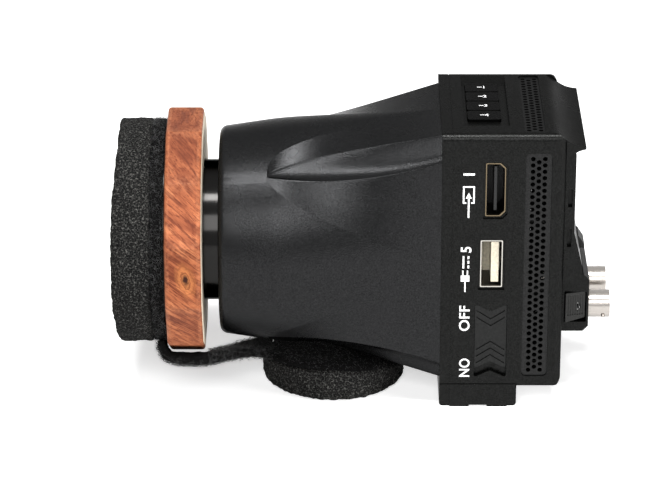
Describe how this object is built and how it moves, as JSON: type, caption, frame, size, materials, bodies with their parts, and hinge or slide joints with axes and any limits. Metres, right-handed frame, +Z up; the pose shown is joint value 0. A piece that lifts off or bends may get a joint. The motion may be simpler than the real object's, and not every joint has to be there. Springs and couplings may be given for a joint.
{
  "type": "electronic viewfinder",
  "caption": "Box-shaped electronic viewfinder: screen housing with ports, switch and keys, flared loupe, wooden focus ring, foam eye cushion and folded flap pad.",
  "frame": {"origin": "mouth of the tripod thread, in the underside of the foot", "axes": "+X along the optical axis from the eye to the battery side, +Z up, -Y the side with the sockets and the power switch"},
  "size_m": [0.1274, 0.0614, 0.0758],
  "materials": {
    "aluminium": "plain",
    "barrel_metal": "black anodised",
    "black_steel": "black oxide",
    "body_plastic": "moulded black plastic with a fine satin grain",
    "chip_plastic": "matte black epoxy",
    "circuit_board": "green solder mask",
    "fleece": "brushed black loop fabric",
    "foam": "open-cell charcoal foam, softly napped",
    "foam_rubber": "black cellular rubber",
    "gold_contact": "gold-plated",
    "grey_plastic": "dark grey, ribbed",
    "grille_metal": "black punched sheet",
    "hook_fabric": "black hook tape",
    "key_plastic": "satin black",
    "lens_glass": "coated optical glass",
    "loupe_plastic": "moulded black plastic with a satin sheen and fine grain",
    "nickel": "satin nickel",
    "panel_glass": "dark display glass",
    "ring_wood": "orange-brown open-grained wood, oiled",
    "sheet_steel": "plain sheet",
    "socket_metal": "nickel-plated sheet",
    "socket_plastic": "matte black",
    "steel": "zinc-plated",
    "switch_plastic": "satin black",
    "terminal_plastic": "matte black",
    "usb_plastic": "ivory, matte",
    "white_plastic": "white"
  },
  "bodies": {
    "housing": {"front_bezel": "body_plastic", "rear_shell": "body_plastic", "battery_plate": "body_plastic", "battery_end_stop": "body_plastic", "coax_block": "body_plastic", "loupe_shell": "loupe_plastic", "tripod_insert": "steel", "housing_screws": "black_steel", "display_gasket": "foam_rubber", "display_panel": "panel_glass", "backlight_unit": "white_plastic", "display_tray": "sheet_steel", "display_screws": "steel", "main_board": "circuit_board", "board_screws": "steel", "processor_chip": "chip_plastic", "heat_spreader": "aluminium", "video_socket": "socket_metal", "video_tongue": "socket_plastic", "usb_socket": "socket_metal", "usb_tongue": "usb_plastic", "switch_body": "sheet_steel", "key_board": "circuit_board", "key_switches": "sheet_steel", "key_board_screws": "steel", "side_grille": "grille_metal", "top_grille": "grille_metal", "battery_plate_screws": "black_steel", "battery_terminals": "terminal_plastic", "battery_blades": "gold_contact", "coax_socket_1": "nickel", "coax_socket_2": "nickel", "coax_insulators": "white_plastic", "coax_nuts": "nickel", "release_spring": "steel", "loupe_screws": "black_steel"},
    "eyepiece": {"eyepiece_barrel": "barrel_metal", "eye_lens": "lens_glass", "field_lens": "lens_glass", "lens_spacer": "barrel_metal", "lens_retainer": "barrel_metal", "sleeve_clip": "steel", "hook_ring": "hook_fabric", "cushion_backing": "fleece", "eye_cushion": "foam"},
    "focus_ring": {"focus_ring": "ring_wood", "focus_sleeve": "barrel_metal", "focus_ring_screws": "steel"},
    "flap": {"flap_strap": "fleece", "flap_backing": "fleece", "flap_pad": "foam"},
    "switch_cap": {"switch_cap": "switch_plastic"},
    "release_button": {"release_button": "grey_plastic"},
    "latch_tooth": {"latch_tooth": "grey_plastic"},
    "key_1": {"function_key_1": "key_plastic"},
    "key_2": {"function_key_2": "key_plastic"},
    "key_3": {"function_key_3": "key_plastic"},
    "key_4": {"function_key_4": "key_plastic"}
  },
  "joints": [
    {"name": "focus_turn", "type": "hinge", "parent": "eyepiece", "child": "focus_ring", "pos_m": [-0.0751, 0, 0.0406], "axis": [1, 0, 0], "range_deg": [-85, 85]},
    {"name": "eyepiece_slide", "type": "slide", "parent": "housing", "child": "eyepiece", "axis": [-1, 0, 0], "range_m": [-0.0038, 0.0038]},
    {"name": "flap_fold", "type": "hinge", "parent": "eyepiece", "child": "flap", "pos_m": [-0.0822, -0.01267, 0.0128], "axis": [0, 0.91, -0.4147], "range_deg": [0, 90]},
    {"name": "power_switch", "type": "slide", "parent": "housing", "child": "switch_cap", "axis": [0, 0, -1], "range_m": [0, 0.0024]},
    {"name": "release_press", "type": "slide", "parent": "housing", "child": "release_button", "axis": [0, 1, 0], "range_m": [0, 0.001], "stiffness_N_per_m": 800, "deforming": ["release_spring"]},
    {"name": "latch_retract", "type": "slide", "parent": "housing", "child": "latch_tooth", "axis": [-1, 0, 0], "range_m": [0, 0.0015]},
    {"name": "key_1_press", "type": "slide", "parent": "housing", "child": "key_1", "axis": [0, 0, -1], "range_m": [0, 0.0005], "stiffness_N_per_m": 400},
    {"name": "key_2_press", "type": "slide", "parent": "housing", "child": "key_2", "axis": [0, 0, -1], "range_m": [0, 0.0005], "stiffness_N_per_m": 400},
    {"name": "key_3_press", "type": "slide", "parent": "housing", "child": "key_3", "axis": [0, 0, -1], "range_m": [0, 0.0005], "stiffness_N_per_m": 400},
    {"name": "key_4_press", "type": "slide", "parent": "housing", "child": "key_4", "axis": [0, 0, -1], "range_m": [0, 0.0005], "stiffness_N_per_m": 400}
  ],
  "couplings": [
    {"joint": "eyepiece_slide", "follows": "focus_turn", "m_per_rad": 0.0025465},
    {"joint": "latch_retract", "follows": "release_press", "ratio": 1.25}
  ]
}
